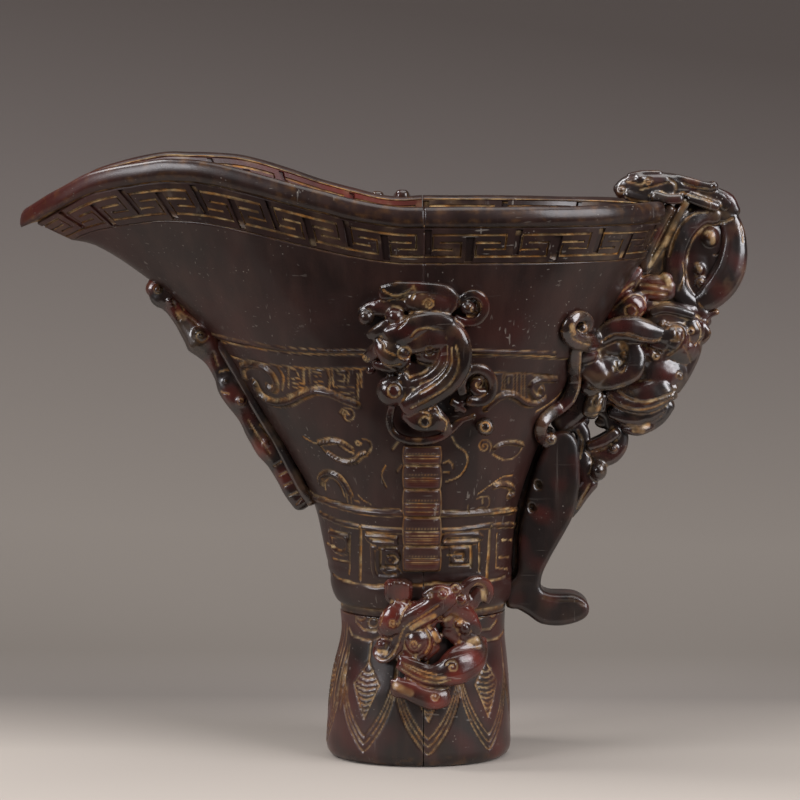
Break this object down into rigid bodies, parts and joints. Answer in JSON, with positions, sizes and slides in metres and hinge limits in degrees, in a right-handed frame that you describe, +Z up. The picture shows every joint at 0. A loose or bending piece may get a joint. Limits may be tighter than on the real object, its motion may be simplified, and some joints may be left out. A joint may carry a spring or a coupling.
{
  "type": "carved libation cup",
  "caption": "Spouted oval libation cup pieced from carved horn, on a flared foot, with climbing dragons in relief and a beast handle at the rear.",
  "frame": {"origin": "middle of the underside of the foot, on the plane of the seam between the two halves", "axes": "+X from the spout to the handle, +Y from the pictured flank to the far flank, +Z up"},
  "size_m": [0.2244, 0.1051, 0.1879],
  "materials": {
    "stained_horn": "dark brown stained horn, polished, tan residue in the carving",
    "dark_horn": "brown black stained horn, polished",
    "red_horn": "deep oxblood horn, polished, tan residue in the carving"
  },
  "bodies": {
    "root": {"bowl_front_half": "stained_horn", "bowl_rear_half": "stained_horn", "cup_floor": "dark_horn", "foot_front_half": "stained_horn", "foot_rear_half": "stained_horn", "foot_base_plate": "dark_horn", "near_ladder_flange": "red_horn", "far_ladder_flange": "red_horn", "near_flank_dragon": "red_horn", "far_flank_dragon": "red_horn", "near_foot_dragon": "red_horn", "far_foot_dragon": "red_horn", "front_flange": "dark_horn", "front_dragon": "red_horn", "handle_strap": "dark_horn", "near_side_limb": "dark_horn", "far_side_limb": "dark_horn", "beast_head": "dark_horn", "near_beast_wing": "dark_horn", "far_beast_wing": "dark_horn", "handle_knot": "dark_horn", "beast_brow_limb": "red_horn", "rim_dragon": "dark_horn", "handle_loop": "red_horn", "handle_inner_limb": "dark_horn"}
  },
  "joints": []
}
